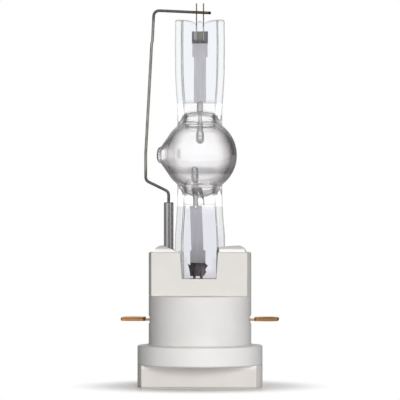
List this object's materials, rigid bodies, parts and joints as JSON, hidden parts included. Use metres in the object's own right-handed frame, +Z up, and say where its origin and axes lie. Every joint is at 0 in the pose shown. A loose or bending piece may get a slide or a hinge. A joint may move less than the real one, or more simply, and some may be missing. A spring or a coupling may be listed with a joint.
{
  "type": "metal halide lamp",
  "caption": "Clear quartz discharge lamp with ribbed pinch seals, a side return lead and a slotted round ceramic cap with flat contact blades at its sides.",
  "frame": {"origin": "centre of the flat underside of the cap's grip bar, on the lamp axis", "axes": "+Z up along the lamp axis from the cap to the top leads, X along the two contact blades, -Y is the pictured front"},
  "size_m": [0.0632, 0.05, 0.153],
  "materials": {
    "ceramic": "unglazed warm white moulded ceramic",
    "cement": "matte white refractory cement",
    "blade_alloy": "bare copper alloy strip, lightly oxidised",
    "quartz": "clear fused quartz",
    "tungsten": "dull grey tungsten",
    "molybdenum": "smooth grey molybdenum foil",
    "clip_metal": "dark creased nickel sheet",
    "lead_wire": "drawn wire",
    "return_wire": "dull grey-brown drawn nickel wire with heat tint at the welds",
    "sleeve_metal": "polished metal tube"
  },
  "bodies": {
    "root": {"ceramic_cap": "ceramic", "cement_left": "cement", "cement_right": "cement", "contact_blade_left": "blade_alloy", "contact_blade_right": "blade_alloy", "quartz_envelope": "quartz", "upper_electrode_rod": "tungsten", "upper_electrode_coil": "tungsten", "upper_electrode_wrap": "molybdenum", "upper_foil": "molybdenum", "upper_foil_plate": "molybdenum", "upper_lead_clip": "clip_metal", "upper_lead_left": "lead_wire", "upper_lead_right": "lead_wire", "lower_electrode_rod": "tungsten", "lower_electrode_coil": "tungsten", "lower_electrode_wrap": "molybdenum", "lower_foil": "molybdenum", "lower_foil_plate": "molybdenum", "lower_lead_clip": "clip_metal", "lower_lead_left": "lead_wire", "lower_lead_right": "lead_wire", "lower_connector": "clip_metal", "return_lead": "return_wire", "return_sleeve": "sleeve_metal"}
  },
  "joints": []
}
